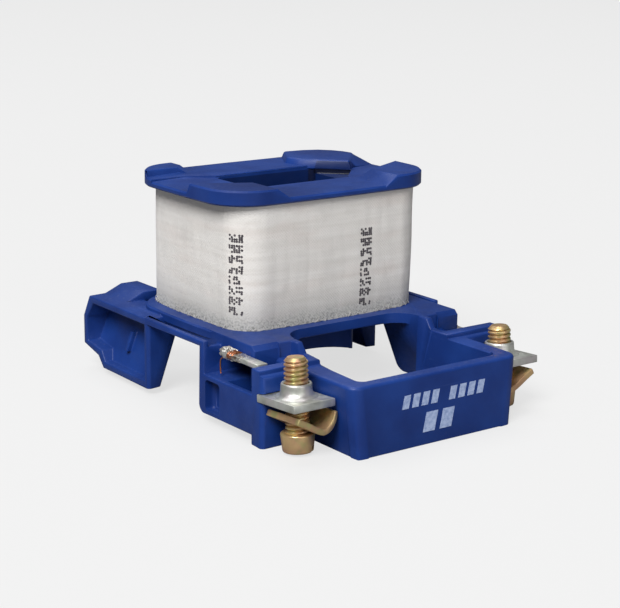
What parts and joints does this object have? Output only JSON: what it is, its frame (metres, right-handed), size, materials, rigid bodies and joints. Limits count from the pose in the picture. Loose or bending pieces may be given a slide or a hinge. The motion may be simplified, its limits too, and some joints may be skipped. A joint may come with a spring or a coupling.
{
  "type": "contactor coil",
  "caption": "Contactor coil: taped winding on an oval-flanged bobbin with a rectangular core slot, moulded in one with a terminal frame, legs and wings, with screw clamp terminals.",
  "frame": {"origin": "on the axis of the core slot, level with the lowest faces of the moulding", "axes": "+X along the front wall of the terminal frame, +Y away from the terminals, +Z along the core slot towards the padded flange"},
  "size_m": [0.044, 0.0598, 0.0329],
  "materials": {
    "blue_moulding": "semi-matt moulded thermoplastic, fine moulded grain",
    "enamelled_copper": "enamelled copper wire",
    "cloth_tape": "woven off-white insulating tape",
    "zinc_steel": "zinc-plated steel",
    "yellow_zinc": "yellow passivated zinc on steel",
    "solder": "tin solder"
  },
  "bodies": {
    "root": {"bobbin_carrier": "blue_moulding", "winding": "enamelled_copper", "tape_wrap": "cloth_tape", "terminal_plate_left": "zinc_steel", "terminal_plate_right": "zinc_steel", "clamp_washer_left": "yellow_zinc", "clamp_washer_right": "yellow_zinc", "terminal_screw_left": "yellow_zinc", "terminal_screw_right": "yellow_zinc", "winding_lead_left": "enamelled_copper", "winding_lead_right": "enamelled_copper", "solder_joint_left": "solder", "solder_joint_right": "solder"}
  },
  "joints": []
}
